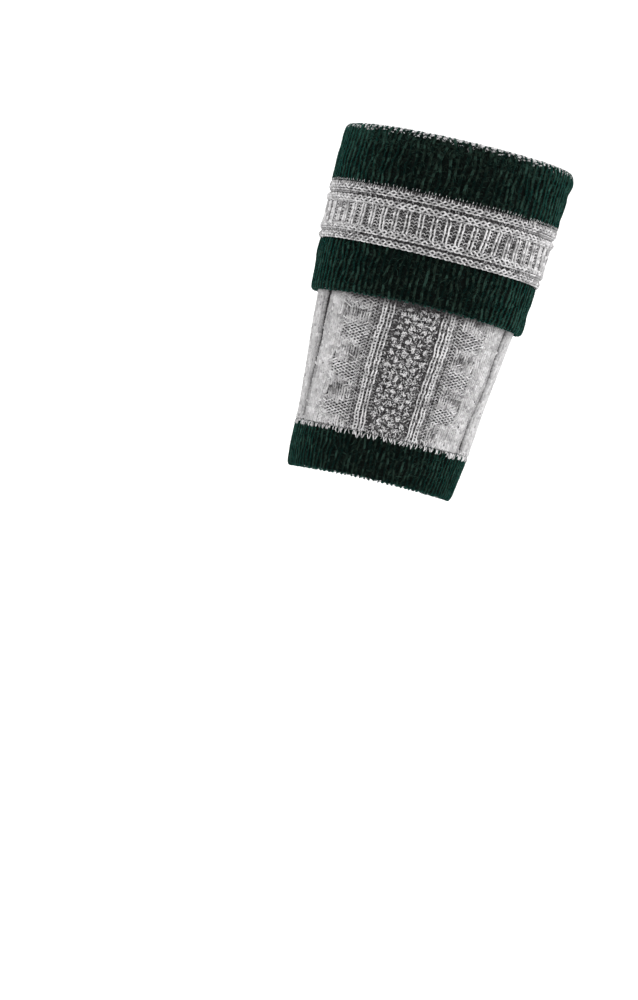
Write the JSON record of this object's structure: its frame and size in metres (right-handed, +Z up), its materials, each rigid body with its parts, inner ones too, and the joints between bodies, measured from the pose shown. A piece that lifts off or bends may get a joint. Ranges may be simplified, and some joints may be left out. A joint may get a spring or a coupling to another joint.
{
  "type": "knitted calf warmer",
  "caption": "Hollow knitted calf warmer, tapered and leaning as worn, with a turned-down striped cuff, cabled grey body and ribbed green hem.",
  "frame": {"origin": "On the leg's axis where the cuff grips the calf, 180 mm up the axis from the hem's lower edge", "axes": "+Z is up and -Y is the side that faces the camera. The warmer's own axis leans 15.3 degrees from +Z towards +X"},
  "size_m": [0.1616, 0.1332, 0.2137],
  "materials": {
    "green_wool": "dark bottle-green wool, fine vertical ribs, slightly fuzzy",
    "grey_wool": "light grey melange wool with dark recesses, slightly fuzzy"
  },
  "bodies": {
    "root": {"hem_band": "green_wool", "body_tube": "grey_wool", "cuff_lower_band": "green_wool", "cuff_pattern_band": "grey_wool", "cuff_upper_band": "green_wool"}
  },
  "joints": []
}
